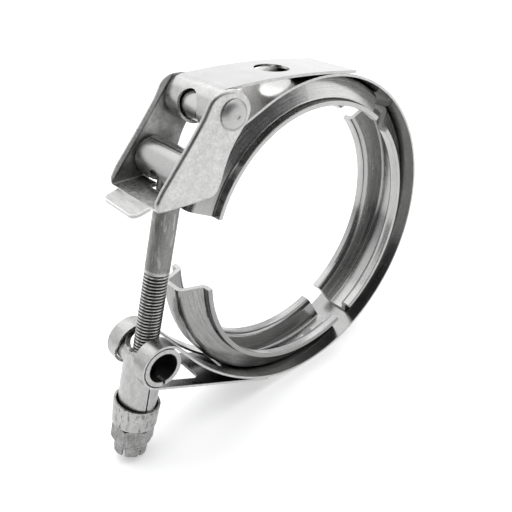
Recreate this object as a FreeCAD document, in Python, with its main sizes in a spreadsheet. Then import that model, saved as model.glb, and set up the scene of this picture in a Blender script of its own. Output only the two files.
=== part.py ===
import FreeCAD, Part
import math
import os

from FreeCAD import Placement, Rotation, Vector

# V-band clamp, millimetres.
# The ring lies in the XZ plane, its axis is Y and its centre is the origin.
# Ring angles run from +X towards +Z. Every piece is drawn with the latch as
# it was laid out and the whole clamp is then turned about Y by the stand
# angle, so that the foot of the band and the crown of the nut share one floor.

doc = FreeCAD.newDocument("v_band_clamp")

# ---------------------------------------------------------------- dimensions
sheet = doc.addObject("Spreadsheet::Sheet", "Dimensions")
DIMENSIONS = [
    ("band_width", 20.6), ("band_thick", 0.8), ("band_outer", 54.7),
    ("lap_gap", 0.02), ("lap_upper_length", 7.9), ("lap_lower_end", 250.0),
    ("plate_bend_at", 82.0),
    ("pin_x", -35.3), ("pin_z", 50.75), ("upper_loop_mid", 6.3),
    ("trunnion_x", -62.0), ("trunnion_z", -23.8), ("lower_loop_mid", 7.3),
    ("run_out_at", -118.0), ("run_out_radius", 78.0),
    ("slot_narrow", 9.0), ("slot_wide", 12.6), ("slot_neck", 14.2),
    ("plate_hole_dia", 10.8), ("plate_hole_x", -10.8),
    ("retainer_thick", 1.6), ("retainer_outer", 53.85), ("groove_half", 3.4),
    ("lip_inner", 44.8), ("lip_start", 6.1), ("lip_end", 10.0),
    ("upper_from", 51.0), ("upper_to", 158.9), ("upper_bend_at", 92.0), ("upper_inward", 4.3),
    ("right_from", -59.2), ("right_to", 41.3),
    ("lower_from", -180.2), ("lower_to", -67.7), ("lower_bend_at", -110.0), ("lower_inward", 3.8),
    ("lever_outer", 24.92), ("lever_inner", 22.32), ("lever_hole_dia", 6.1),
    ("notch_width", 8.7), ("tab_width", 16.4),
    ("pin_dia", 6.0), ("head_dia", 8.7), ("head_high", 1.7),
    ("bush_outer_dia", 10.8), ("bush_bore_dia", 6.2), ("bush_long", 22.1),
    ("bolt_dia", 7.72), ("bolt_tilt", 14.17), ("barrel_at", 60.85), ("bolt_aside", -0.4),
    ("bolt_end", -36.2),
    ("barrel_dia", 12.1), ("barrel_bore", 9.7), ("barrel_long", 20.5),
    ("barrel_hole", 9.6), ("barrel_slot", 10.6), ("head_bar_dia", 9.4), ("head_bar_long", 19.4),
    ("tube_dia", 12.9), ("tube_bore", 9.9), ("tube_long", 20.5),
    ("neck_long_half", 6.8), ("neck_short_half", 6.1), ("neck_bore", 7.9), ("neck_end", -23.9),
    ("seam", 0.5), ("seam_aside", -0.9), ("saddle_at", 7.0), ("saddle_radius", 5.2),
    ("collar_dia", 15.4), ("collar_low_dia", 14.5), ("collar_bore", 13.9), ("collar_top", -18.3),
    ("collar_floor", -24.0), ("collar_bottom", -26.0),
    ("nut_flats", 12.1), ("nut_top", -26.15), ("hex_bottom", -32.4),
    ("crown_dia", 10.8), ("crown_end", -37.1), ("crown_tip_dia", 9.6),
    ("crown_slot", 1.1), ("crown_slot_deep", 3.0), ("nut_bore", 7.82),
    ("nut_turned", -118.6),
]
for row, (alias, value) in enumerate(DIMENSIONS, start=1):
    sheet.set("A%d" % row, alias)
    sheet.set("B%d" % row, repr(value))
    sheet.setAlias("B%d" % row, alias)
doc.recompute()


def dim(alias):
    return float(sheet.get(alias))


PIN = (dim("pin_x"), dim("pin_z"))
TRN = (dim("trunnion_x"), dim("trunnion_z"))
TILT = math.radians(dim("bolt_tilt"))


def polar(centre, radius, degrees):
    a = math.radians(degrees)
    return (centre[0] + radius * math.cos(a), centre[1] + radius * math.sin(a))


# stand angle: turn the ring plane until the crown of the nut is level with
# the foot of the band
def crown_drop(angle):
    low = -1e9
    for s, r in ((dim("crown_end") + 0.55, dim("crown_dia") / 2.0),
                 (dim("crown_end"), dim("crown_tip_dia") / 2.0)):
        r += dim("bolt_aside")
        x = TRN[0] + s * math.sin(TILT) + r * math.cos(TILT)
        z = TRN[1] + s * math.cos(TILT) - r * math.sin(TILT)
        low = max(low, x * math.sin(angle) - z * math.cos(angle))
    return low


lo, hi = 0.0, math.radians(15.0)
for _ in range(60):
    mid = (lo + hi) / 2.0
    if crown_drop(mid) > dim("band_outer"):
        lo = mid
    else:
        hi = mid
STAND = math.degrees((lo + hi) / 2.0)
TURN = Placement(Vector(0, 0, 0), Rotation(Vector(0, 1, 0), STAND))
print("stand angle %.4f" % STAND)


def at(x, z, tilt_degrees=0.0):
    """Turned placement of a piece whose own origin is at x, z in the ring plane."""
    return TURN.multiply(Placement(Vector(x, 0, z), Rotation(Vector(0, 1, 0), tilt_degrees)))


# ------------------------------------------------------------------- helpers
def new_body(label):
    body = doc.addObject("PartDesign::Body", label)
    body.Label = label
    return body


def origin_plane(body, role):
    return [f for f in body.Origin.OriginFeatures if f.Role == role][0]


def sketch(body, role, name, edges, offset=None):
    sk = body.newObject("Sketcher::SketchObject", name)
    sk.AttachmentSupport = [(origin_plane(body, role), "")]
    sk.MapMode = "FlatFace"
    if offset is not None:
        sk.AttachmentOffset = offset
    for edge in edges:
        sk.addGeometry(edge, False)
    return sk


def symmetric(body, kind, name, sk, expression):
    feature = body.newObject("PartDesign::" + kind, name)
    feature.Profile = sk
    feature.SideType = "Symmetric"
    feature.setExpression("Length", expression)
    return feature


def one_way(body, kind, name, sk, depth):
    feature = body.newObject("PartDesign::" + kind, name)
    feature.Profile = sk
    feature.SideType = "One side"
    feature.Length = depth
    return feature


def facing(centre, degrees, distance):
    """Offset on the YZ plane: local x is Y, local y runs round, local z points out
    at the given ring angle, and the plane stands at that distance from centre."""
    cx, cz = polar(centre, distance, degrees)
    # on the YZ plane local x, y, z are Y, Z, X
    return Placement(Vector(0, cz, cx), Rotation(Vector(1, 0, 0), -degrees))


def arc(centre, radius, a0, a1):
    if a1 < a0:
        a0, a1 = a1, a0
    circle = Part.Circle(Vector(centre[0], centre[1], 0), Vector(0, 0, 1), radius)
    return Part.ArcOfCircle(circle, math.radians(a0), math.radians(a1))


def line(p, q):
    return Part.LineSegment(Vector(p[0], p[1], 0), Vector(q[0], q[1], 0))


def rounded(points, radii):
    """Closed outline through points with each corner rounded to its radius."""
    n = len(points)
    cut = []
    for i in range(n):
        p0, p1, p2 = points[i - 1], points[i], points[(i + 1) % n]
        r = radii[i]
        if r <= 0:
            cut.append((p1, p1, None))
            continue
        ax, ay = p0[0] - p1[0], p0[1] - p1[1]
        bx, by = p2[0] - p1[0], p2[1] - p1[1]
        la, lb = math.hypot(ax, ay), math.hypot(bx, by)
        ax, ay, bx, by = ax / la, ay / la, bx / lb, by / lb
        half = math.acos(max(-1.0, min(1.0, ax * bx + ay * by))) / 2.0
        back = r / math.tan(half)
        if back > 0.49 * min(la, lb):
            back = 0.49 * min(la, lb)
            r = back * math.tan(half)
        mx, my = ax + bx, ay + by
        lm = math.hypot(mx, my)
        centre = (p1[0] + mx / lm * r / math.sin(half), p1[1] + my / lm * r / math.sin(half))
        s = (p1[0] + ax * back, p1[1] + ay * back)
        e = (p1[0] + bx * back, p1[1] + by * back)
        m = (centre[0] - mx / lm * r, centre[1] - my / lm * r)
        cut.append((s, e, m))
    edges = []
    for i in range(n):
        s, e, m = cut[i]
        if m is not None:
            edges.append(Part.Arc(Vector(s[0], s[1], 0), Vector(m[0], m[1], 0), Vector(e[0], e[1], 0)))
        nxt = cut[(i + 1) % n][0]
        if math.hypot(nxt[0] - e[0], nxt[1] - e[1]) > 1e-6:
            edges.append(line(e, nxt))
    return edges


def box_outline(x0, y0, x1, y1, r=0.0):
    return rounded([(x0, y0), (x1, y0), (x1, y1), (x0, y1)], [r] * 4)


# --------------------------------------------------------------- band strap
# One strip: the folded-back top plate, round the lever pin, once round the
# ring, out to the trunnion, round it and back on to the ring.
R_OUT = dim("band_outer")
T = dim("band_thick")
R_MID = R_OUT - T / 2.0
R_LAP = R_OUT + dim("lap_gap") + T / 2.0
RU = dim("upper_loop_mid")
RL = dim("lower_loop_mid")
O = (0.0, 0.0)

pin_d = math.hypot(*PIN)
pin_a = math.degrees(math.atan2(PIN[1], PIN[0]))
trn_d = math.hypot(*TRN)
trn_a = math.degrees(math.atan2(TRN[1], TRN[0]))

# top plate: a short straight lap, then one large arc to the crown of the upper loop
bend = math.radians(dim("plate_bend_at"))
cxy = (math.cos(bend), math.sin(bend))
dot = PIN[0] * cxy[0] + PIN[1] * cxy[1]
m_shift = (pin_d ** 2 - (R_LAP - RU) ** 2) / (2.0 * (R_LAP - RU) - 2.0 * dot)
R_PLATE = R_LAP + m_shift
C_PLATE = (-m_shift * cxy[0], -m_shift * cxy[1])
a_top = math.degrees(math.atan2(PIN[1] - C_PLATE[1], PIN[0] - C_PLATE[0]))

# inner layer, ring to upper loop: the tangent that crosses over
beta = math.degrees(math.acos((R_MID + RU) / pin_d))
a_ring_up = pin_a - beta
a_loop_up = a_ring_up + 180.0

# inner layer, ring to lower loop: a wider arc and then a crossing tangent
ro = math.radians(dim("run_out_at"))
R_RUN = dim("run_out_radius")
C_RUN = ((R_MID - R_RUN) * math.cos(ro), (R_MID - R_RUN) * math.sin(ro))
vx, vz = TRN[0] - C_RUN[0], TRN[1] - C_RUN[1]
run_d = math.hypot(vx, vz)
run_a = math.degrees(math.atan2(vz, vx))
a_run_end = run_a + math.degrees(math.acos((R_RUN + RL) / run_d))
a_loop_lo = a_run_end + 180.0

# outer layer, lower loop back to the ring: the outside tangent
a_back = trn_a + 360.0 + math.degrees(math.acos((R_LAP - RL) / trn_d))

bend_point = polar(O, R_LAP, dim("plate_bend_at"))
plate_end = (bend_point[0] + dim("lap_upper_length") * cxy[1], bend_point[1] - dim("lap_upper_length") * cxy[0])

path = [
    ("line", plate_end, bend_point),
    ("arc", C_PLATE, R_PLATE, dim("plate_bend_at"), a_top),
    ("arc", PIN, RU, a_top, a_loop_up),
    ("line", polar(PIN, RU, a_loop_up), polar(O, R_MID, a_ring_up)),
    ("arc", O, R_MID, a_ring_up, dim("run_out_at")),
    ("arc", C_RUN, R_RUN, dim("run_out_at"), a_run_end),
    ("line", polar(C_RUN, R_RUN, a_run_end), polar(TRN, RL, a_loop_lo)),
    ("arc", TRN, RL, a_loop_lo, a_back),
    ("line", polar(TRN, RL, a_back), polar(O, R_LAP, a_back)),
    ("arc", O, R_LAP, a_back, dim("lap_lower_end")),
]


def side_of(path, d):
    """The path moved d to its left."""
    edges, first, last = [], None, None
    for step in path:
        if step[0] == "arc":
            _, c, r, a0, a1 = step
            rr = r - d if a1 > a0 else r + d
            p, q = polar(c, rr, a0), polar(c, rr, a1)
            edges.append(arc(c, rr, a0, a1))
        else:
            _, p, q = step
            dx, dz = q[0] - p[0], q[1] - p[1]
            l = math.hypot(dx, dz)
            nx, nz = -dz / l, dx / l
            p = (p[0] + nx * d, p[1] + nz * d)
            q = (q[0] + nx * d, q[1] + nz * d)
            edges.append(line(p, q))
        if first is None:
            first = p
        last = q
    return edges, first, last


left, lf, ll = side_of(path, T / 2.0)
right, rf, rl = side_of(path, -T / 2.0)
strap = new_body("band_strap")
sk = sketch(strap, "XZ_Plane", "strip_edge", left + right + [line(lf, rf), line(ll, rl)])
symmetric(strap, "Pad", "strip", sk, "Dimensions.band_width")

# upper loop: slot over its left side and underside, with a round top end
A_UP = 172.0
sk = sketch(strap, "YZ_Plane", "upper_slot_end",
            [Part.Circle(Vector(0, 0, 0), Vector(0, 0, 1), dim("slot_narrow") / 2.0)],
            facing(PIN, A_UP, 9.0))
one_way(strap, "Pocket", "upper_slot_round", sk, 6.0)
sk = sketch(strap, "XZ_Plane", "upper_slot_side",
            [line(polar(PIN, 3.0, A_UP), polar(PIN, 8.5, A_UP)),
             arc(PIN, 8.5, A_UP, 286.0),
             line(polar(PIN, 8.5, 286.0), polar(PIN, 3.0, 286.0)),
             arc(PIN, 3.0, A_UP, 286.0)])
symmetric(strap, "Pocket", "upper_slot", sk, "Dimensions.slot_narrow")

# lower loop: narrow slot for the bolt from the ring side over the top,
# wide slot for the trunnion's neck below it and along the outer layer
sk = sketch(strap, "XZ_Plane", "bolt_slot_side",
            [line(polar(TRN, 5.0, 30.0), polar(TRN, 9.0, 30.0)),
             arc(TRN, 9.0, 30.0, 200.0),
             line(polar(TRN, 9.0, 200.0), polar(TRN, 5.0, 200.0)),
             arc(TRN, 5.0, 30.0, 200.0)])
symmetric(strap, "Pocket", "bolt_slot", sk, "Dimensions.slot_narrow")
w = dim("slot_narrow") / 2.0
out_dir = a_run_end                      # the inner layer faces this way where its straight begins


def run_plane(back, lift):
    """Sketch plane on the inner layer's outer face, that many mm back along the run-out."""
    a = out_dir + math.degrees(back / R_RUN)
    c = polar(C_RUN, R_RUN + lift, a)
    return Placement(Vector(0, c[1], c[0]), Rotation(Vector(1, 0, 0), -a))


sk = sketch(strap, "YZ_Plane", "inner_slot_straight", box_outline(-w, -9.5, w, 1.5), run_plane(0.0, 0.9))
one_way(strap, "Pocket", "inner_slot_start", sk, 2.2)
a_end = out_dir + math.degrees(19.3 / R_RUN)
sk = sketch(strap, "XZ_Plane", "inner_slot_side",
            [line(polar(C_RUN, R_RUN - 1.2, out_dir), polar(C_RUN, R_RUN + 0.9, out_dir)),
             arc(C_RUN, R_RUN + 0.9, out_dir, a_end),
             line(polar(C_RUN, R_RUN + 0.9, a_end), polar(C_RUN, R_RUN - 1.2, a_end)),
             arc(C_RUN, R_RUN - 1.2, out_dir, a_end)])
symmetric(strap, "Pocket", "inner_slot", sk, "Dimensions.slot_narrow")
sk = sketch(strap, "YZ_Plane", "inner_slot_end", rounded([(-w, -1.5), (w, -1.5), (w, 3.2), (-w, 3.2)],
                                                         [0, 0, 3.1, 3.1]), run_plane(19.3, 0.9))
one_way(strap, "Pocket", "inner_slot_rounding", sk, 2.0)
ww = dim("slot_wide") / 2.0
wn = dim("slot_neck") / 2.0
sk = sketch(strap, "YZ_Plane", "neck_slot_taper",
            rounded([(-w, -8.5), (w, -8.5), (w, -5.6), (5.9, -3.0), (wn, 3.3), (wn, 7.0),
                     (-wn, 7.0), (-wn, 3.3), (-5.9, -3.0), (-w, -5.6)],
                    [0, 0, 1.2, 1.2, 3.0, 0, 0, 3.0, 1.2, 1.2]),
            facing(TRN, 200.0, 9.5))
one_way(strap, "Pocket", "neck_slot_top", sk, 7.0)
foot = polar(TRN, RL, a_back)
sk = sketch(strap, "YZ_Plane", "neck_slot_outline",
            rounded([(-wn, -1.5), (wn, -1.5), (wn, 2.5), (ww, 5.0), (ww, 20.7), (-ww, 20.7), (-ww, 5.0), (-wn, 2.5)],
                    [0, 0, 2.0, 2.0, 3.0, 3.0, 2.0, 2.0]),
            Placement(Vector(0, foot[1] + 4.0 * math.sin(math.radians(a_back)),
                             foot[0] + 4.0 * math.cos(math.radians(a_back))),
                      Rotation(Vector(1, 0, 0), -a_back)))
one_way(strap, "Pocket", "neck_slot", sk, 4.9)

# round hole in the top plate only
sk = sketch(strap, "XY_Plane", "plate_hole_edge",
            [Part.Circle(Vector(dim("plate_hole_x"), 0, 0), Vector(0, 0, 1), dim("plate_hole_dia") / 2.0)],
            Placement(Vector(0, 0, 59.0), Rotation()))
one_way(strap, "Pocket", "plate_hole", sk, 3.6)
strap.Placement = TURN

# ---------------------------------------------------------------- retainers
# V section rolled from sheet: base, two sloping legs and two flat lips
RT = dim("retainer_thick")
RO = dim("retainer_outer")
RI = RO - RT
GH = dim("groove_half")
LI = dim("lip_inner")
LS = dim("lip_start")
LE = dim("lip_end")
leg = (LI - RI, LS - GH)
ll_ = math.hypot(*leg)
leg = (leg[0] / ll_, leg[1] / ll_)
nrm = (leg[1], -leg[0])                  # towards the outside of the section
off = (RI + nrm[0] * RT, GH + nrm[1] * RT)
t_base = (RO - off[0]) / leg[0]
base_y = off[1] + t_base * leg[1]
t_lip = (LI + RT - off[0]) / leg[0]
lip_y = off[1] + t_lip * leg[1]
half_in = [(RI, GH), (LI, LS), (LI, LE)]
half_out = [(LI + RT, LE), (LI + RT, lip_y), (RO, base_y)]


def v_section(inward):
    """Outline of the section, measured from an axis that lies inward of the ring axis."""
    out = half_in + half_out
    return ([(p[0] - inward, p[1]) for p in out] + [(p[0] - inward, -p[1]) for p in reversed(out)])


radii_in = [1.0, 2.4, 0.25]
radii_out = [0.25, 0.9, 2.6]
radii = radii_in + radii_out + list(reversed(radii_out)) + list(reversed(radii_in))


def v_sweep(body, name, inward, angle, towards_higher):
    """Sweeps the section round an axis that lies inward of the ring axis."""
    sk = sketch(body, "XY_Plane", name + "_section", rounded(v_section(inward), radii),
                Placement(Vector(inward, 0, 0), Rotation()))
    rev = body.newObject("PartDesign::Revolution", name)
    rev.Profile = sk
    rev.ReferenceAxis = (sk, ["V_Axis"])
    rev.Reversed = towards_higher
    rev.setExpression("Angle", angle)
    return rev


# each is rolled to the ring where the strip holds it, and its free end, where
# the strip has left the ring, curls inward on a tighter radius
for label, key, free_at in (("retainer_upper", "upper", "to"), ("retainer_right", "right", None),
                            ("retainer_lower", "lower", "from")):
    body = new_body(label)
    D = "Dimensions."
    if free_at is None:
        start = dim(key + "_to")
        v_sweep(body, label + "_ring", 0.0, D + key + "_to - " + D + key + "_from", False)
    else:
        start = dim(key + "_bend_at")
        held_to = "from" if free_at == "to" else "to"
        up = D + key + "_to - " + D + key + "_bend_at"
        down = D + key + "_bend_at - " + D + key + "_from"
        v_sweep(body, label + "_ring", 0.0, up if held_to == "to" else down, held_to == "to")
        v_sweep(body, label + "_free", dim(key + "_inward"), up if free_at == "to" else down, free_at == "to")
    body.Placement = TURN.multiply(Placement(Vector(0, 0, 0), Rotation(Vector(0, 1, 0), -start)))

# -------------------------------------------------------------- latch lever
# Folded sheet: two cheeks, a floor between them that holds the barrel, a
# notch in the floor for the bolt and a thumb tab.
cheek = [(-41.9, 56.5), (-44.9, 51.7), (-50.0, 45.5), (-53.3, 41.7), (-56.7, 37.8), (-59.4, 34.7),
         (-61.2, 31.9), (-61.3, 29.0), (-57.4, 28.7), (-45.8, 28.3), (-43.1, 28.2), (-41.2, 29.4),
         (-39.8, 31.6), (-38.3, 35.7), (-36.5, 39.6), (-34.3, 42.9), (-32.2, 45.3), (-30.0, 47.9),
         (-28.6, 50.9), (-29.3, 53.8), (-31.3, 56.2), (-34.4, 57.4), (-38.6, 57.6)]
cheek_r = [6.0, 20.0, 30.0, 30.0, 30.0, 12.0, 2.5, 2.0, 8.0, 8.0, 2.5, 4.0, 12.0, 15.0, 15.0, 15.0, 15.0, 6.0,
           5.0, 5.0, 5.0, 5.0, 6.0]
WEB_TOP = 29.75
WEB_END = -50.7
lever = new_body("latch_lever")
sk = sketch(lever, "XZ_Plane", "cheek_outline", rounded(cheek, cheek_r))
symmetric(lever, "Pad", "cheek_block", sk, "Dimensions.lever_outer")
sk = sketch(lever, "XZ_Plane", "cheek_space",
            rounded([(-70.0, WEB_TOP), (WEB_END, WEB_TOP), (WEB_END, 20.0), (-20.0, 20.0), (-20.0, 65.0),
                     (-70.0, 65.0)], [0, 0, 0, 0, 0, 0]))
symmetric(lever, "Pocket", "between_cheeks", sk, "Dimensions.lever_inner")
sk = sketch(lever, "XZ_Plane", "tab_side",
            [line((-60.2, 29.72), (-60.2, 28.5)), line((-60.2, 28.5), (-66.1, 27.3)),
             line((-66.1, 27.3), (-66.35, 28.5)), line((-66.35, 28.5), (-60.2, 29.72))])
symmetric(lever, "Pad", "tab", sk, "Dimensions.tab_width")
nw = dim("notch_width") / 2.0
sk = sketch(lever, "XY_Plane", "notch_outline",
            rounded([(-53.6, -nw), (-44.0, -nw), (-44.0, nw), (-53.6, nw)], [1.8, 0, 0, 1.8]),
            Placement(Vector(0, 0, 32.0), Rotation()))
notch = one_way(lever, "Pocket", "notch", sk, 6.0)
sk = sketch(lever, "XZ_Plane", "pin_hole_edge",
            [Part.Circle(Vector(PIN[0], PIN[1], 0), Vector(0, 0, 1), dim("lever_hole_dia") / 2.0)])
symmetric(lever, "Pocket", "pin_hole", sk, "Dimensions.lever_outer + 4")
doc.recompute()


def edges_where(shape, test):
    names = []
    for i, e in enumerate(shape.Edges, start=1):
        if test(e):
            names.append("Edge%d" % i)
    return names


def try_fillet(body, name, radius, test, kind="Fillet"):
    base = body.Tip
    names = edges_where(base.Shape, test)
    if not names:
        print("no edges for", name)
        return None
    f = body.newObject("PartDesign::" + kind, name)
    f.Base = (base, names)
    if kind == "Fillet":
        f.Radius = radius
    else:
        f.Size = radius
    doc.recompute()
    if "Invalid" in f.State or "Error" in f.State or f.Shape.isNull() or not f.Shape.isValid():
        print("left out", name, f.State)
        body.removeObject(f)
        doc.removeObject(f.Name)
        body.Tip = base
        doc.recompute()
        return None
    return f


def low_outer(e):
    b = e.BoundBox
    return (b.ZMax < 29.05 and b.XLength > 1.0 and b.YLength < 0.01 and
            abs(abs(b.YMin) - dim("lever_outer") / 2.0) < 0.01 and b.XMax < -43.0)


def tab_corner(e):
    b = e.BoundBox
    return b.XMax < -66.0 and b.YLength < 0.01 and b.ZLength > 0.8


try_fillet(lever, "fold_round", 1.0, low_outer)
try_fillet(lever, "tab_round", 2.2, tab_corner)
lever.Placement = TURN

# --------------------------------------------------------------- lever rivet
rivet = new_body("lever_rivet")
hy = dim("lever_outer") / 2.0 + 0.04
hr = dim("head_dia") / 2.0
hh = dim("head_high")
pr = dim("pin_dia") / 2.0


def dome(sign):
    """Half profile of one head, from the cheek face to the centre dimple."""
    pts = [(hr, hy), (hr, hy + 0.35)]
    for q in (0.97, 0.93, 0.88, 0.82, 0.74, 0.64, 0.52, 0.40, 0.28):
        pts.append((hr * q, hy + 0.35 + (hh - 0.35) * (1.0 - q ** 4.5)))
    pts += [(0.95, hy + hh), (0.65, hy + hh - 0.22), (0.0, hy + hh - 0.26)]
    return [(x, sign * y) for x, y in pts]


prof = [(0.0, 0.0)]
upper = dome(1.0)
lower = dome(-1.0)
prof = [(pr, -hy)] + [(pr, hy)] + upper + list(reversed(lower))
edges = [line(prof[i], prof[(i + 1) % len(prof)]) for i in range(len(prof))]
sk = sketch(rivet, "XY_Plane", "rivet_profile", edges)
rev = rivet.newObject("PartDesign::Revolution", "rivet_turned")
rev.Profile = sk
rev.ReferenceAxis = (sk, ["V_Axis"])
rev.Angle = 360.0
rivet.Placement = at(PIN[0], PIN[1])

# ----------------------------------------------------------------- loop bush
bush = new_body("loop_bush")
sk = sketch(bush, "XZ_Plane", "bush_outer",
            [Part.Circle(Vector(0, 0, 0), Vector(0, 0, 1), dim("bush_outer_dia") / 2.0)])
symmetric(bush, "Pad", "bush_bar", sk, "Dimensions.bush_long")
sk = sketch(bush, "XZ_Plane", "bush_inner",
            [Part.Circle(Vector(0, 0, 0), Vector(0, 0, 1), dim("bush_bore_dia") / 2.0)])
symmetric(bush, "Pocket", "bush_bore", sk, "Dimensions.bush_long + 2")
bush.Placement = at(PIN[0], PIN[1])


# --------------------------------------------------- pieces on the bolt axis
# Own frame of each: origin at the trunnion, +Z along the bolt to the barrel.
def cylinder(name, radius_expr, low, high, along="Z"):
    c = doc.addObject("Part::Cylinder", name)
    c.setExpression("Radius", radius_expr)
    c.Height = high - low
    if along == "Z":
        c.Placement = Placement(Vector(0, 0, low), Rotation())
    else:
        c.Placement = Placement(Vector(0, low, 0), Rotation(Vector(1, 0, 0), -90))
    return c


def block(name, x0, x1, y0, y1, z0, z1):
    b = doc.addObject("Part::Box", name)
    b.Length, b.Width, b.Height = x1 - x0, y1 - y0, z1 - z0
    b.Placement = Placement(Vector(x0, y0, z0), Rotation())
    return b


def fuse(name, parts):
    f = doc.addObject("Part::MultiFuse", name)
    f.Shapes = parts
    return f


def cut(name, base, tools):
    c = doc.addObject("Part::Cut", name)
    c.Base = base
    c.Tool = tools[0] if len(tools) == 1 else fuse(name + "_tools", tools)
    return c


# The bolt runs a little to one side of the middle of the cross tube.
ASIDE = dim("bolt_aside")
bolt_place = at(TRN[0], TRN[1], math.degrees(TILT)).multiply(Placement(Vector(ASIDE, 0, 0), Rotation()))

# bolt: shank with a cross bar for its head
bar_l = dim("head_bar_long") / 2.0
shank = cylinder("bolt_shank", "Dimensions.bolt_dia / 2", dim("bolt_end") + 0.8, dim("barrel_at"))
tip = doc.addObject("Part::Cone", "bolt_tip")
tip.Radius1 = dim("bolt_dia") / 2.0 - 0.8
tip.setExpression("Radius2", "Dimensions.bolt_dia / 2")
tip.Height = 0.8
tip.Placement = Placement(Vector(0, 0, dim("bolt_end")), Rotation())
bar = cylinder("bolt_cross_bar", "Dimensions.head_bar_dia / 2", -bar_l, bar_l, "Y")
bar.Placement = Placement(Vector(0, -bar_l, dim("barrel_at")), Rotation(Vector(1, 0, 0), -90))
bolt = fuse("t_bolt", [shank, tip, bar])
bolt.Label = "t_bolt"
bolt.Placement = bolt_place

# rolled barrel over the cross bar
half = dim("barrel_long") / 2.0
b_out = cylinder("barrel_outer", "Dimensions.barrel_dia / 2", -half, half, "Y")
b_out.Placement = Placement(Vector(0, -half, dim("barrel_at")), Rotation(Vector(1, 0, 0), -90))
b_in = cylinder("barrel_inner", "Dimensions.barrel_bore / 2", -half - 1, half + 1, "Y")
b_in.Placement = Placement(Vector(0, -half - 1, dim("barrel_at")), Rotation(Vector(1, 0, 0), -90))
b_hole = cylinder("barrel_bolt_hole", "Dimensions.barrel_hole / 2", dim("barrel_at") - 12.0, dim("barrel_at"))
# the hole runs on round the barrel, so that the bolt can lean
lean = Rotation(Vector(0, 1, 0), 16.0)
b_slot = cylinder("barrel_bolt_slot", "Dimensions.barrel_slot / 2", 0.0, 12.0)
b_slot.Placement = Placement(Vector(0, 0.8, dim("barrel_at")) + lean.multVec(Vector(0, 0, -12.0)), lean)
barrel = cut("t_barrel", b_out, [b_in, b_hole, b_slot])
barrel.Label = "t_barrel"
barrel.Placement = bolt_place

# trunnion: rolled cross tube with a two-leaf neck down the bolt
half = dim("tube_long") / 2.0
tube = cylinder("tube_outer", "Dimensions.tube_dia / 2", -half, half, "Y")
tube.Placement = Placement(Vector(-ASIDE, -half, 0), Rotation(Vector(1, 0, 0), -90))
neck_edge = doc.addObject("Part::Ellipse", "neck_edge")
neck_edge.setExpression("MajorRadius", "Dimensions.neck_long_half")
neck_edge.setExpression("MinorRadius", "Dimensions.neck_short_half")
neck_edge.Placement = Placement(Vector(0, 0, dim("neck_end")), Rotation(Vector(0, 0, 1), 90))
neck = doc.addObject("Part::Extrusion", "neck_outer")
neck.Base = neck_edge
neck.DirMode = "Custom"
neck.Dir = Vector(0, 0, 1)
neck.LengthFwd = -dim("neck_end")
neck.Solid = True
tr_solid = fuse("trunnion_solid", [tube, neck])
tube_in = cylinder("tube_inner", "Dimensions.tube_bore / 2", -half - 1, half + 1, "Y")
tube_in.Placement = Placement(Vector(-ASIDE, -half - 1, 0), Rotation(Vector(1, 0, 0), -90))
neck_in = cylinder("neck_inner", "Dimensions.neck_bore / 2", dim("neck_end") - 1, 20.0)
seam = dim("seam")
seam_x = dim("seam_aside")
seam_near = block("neck_seam", seam_x - seam / 2.0, seam_x + seam / 2.0, -8.0, 8.0, dim("neck_end") - 1.0, -7.4)
short = block("neck_short_side", seam_x, 8.0, -8.0, 8.0, dim("neck_end") - 1.0, -21.0)
slope = block("neck_sloping_end", 0.0, 14.0, -8.0, 8.0, -14.0, 0.0)
slope.Placement = Placement(Vector(seam_x, -8.0, -21.0), Rotation(Vector(0, 1, 0), -46.0)).multiply(
    Placement(Vector(0, 0, -14.0), Rotation()))
seam_tube_a = block("tube_seam_near", 0.9, 1.9, -half - 1, -6.9, -8.0, -3.5)
seam_tube_b = block("tube_seam_far", 0.9, 1.9, 6.9, half + 1, -8.0, -3.5)
# the cross tube is open above the neck, over a saddle that the bolt passes
saddle = doc.addObject("Part::Cylinder", "saddle")
saddle.setExpression("Radius", "Dimensions.saddle_radius")
saddle.Height = 24.0
saddle.Placement = Placement(Vector(-12.0, 0, dim("saddle_at")), Rotation(Vector(0, 1, 0), 90))
trunnion = cut("trunnion", tr_solid, [tube_in, neck_in, seam_near, short, slope, seam_tube_a, seam_tube_b, saddle])
trunnion.Label = "trunnion"
trunnion.Placement = bolt_place

# collar cup round the end of the neck
c_out = doc.addObject("Part::Cone", "collar_outer")
c_out.setExpression("Radius1", "Dimensions.collar_low_dia / 2")
c_out.setExpression("Radius2", "Dimensions.collar_dia / 2")
c_out.Height = dim("collar_top") + 1.3 - dim("collar_bottom")
c_out.Placement = Placement(Vector(0, 0, dim("collar_bottom")), Rotation())
# its rim stands a little higher at the back than at the front
rim_low = doc.addObject("Part::Box", "collar_rim_slope")
rim_low.Length, rim_low.Width, rim_low.Height = 40.0, 40.0, 10.0
rim_axis = Rotation(Vector(0.8, 0.6, 0), 4.6)
rim_low.Placement = Placement(Vector(0, 0, dim("collar_top") + 0.65), rim_axis).multiply(
    Placement(Vector(-20.0, -20.0, 0), Rotation()))
c_in = cylinder("collar_inner", "Dimensions.collar_bore / 2", dim("collar_floor"), dim("collar_top") + 4)
c_hole = cylinder("collar_hole", "Dimensions.neck_bore / 2", dim("collar_bottom") - 1, dim("collar_floor") + 1)
c_raw = cut("collar_raw", c_out, [c_in, c_hole, rim_low])
doc.recompute()
collar = doc.addObject("Part::Fillet", "collar_cup")
collar.Base = c_raw
rim = []
for i, e in enumerate(c_raw.Shape.Edges, start=1):
    bb = e.BoundBox
    if bb.ZLength < 1e-6 and abs(bb.XLength - dim("collar_low_dia")) < 0.01:
        rim.append((i, 0.9, 0.9))
collar.Edges = rim
collar.Label = "collar_cup"
collar.Placement = bolt_place

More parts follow.
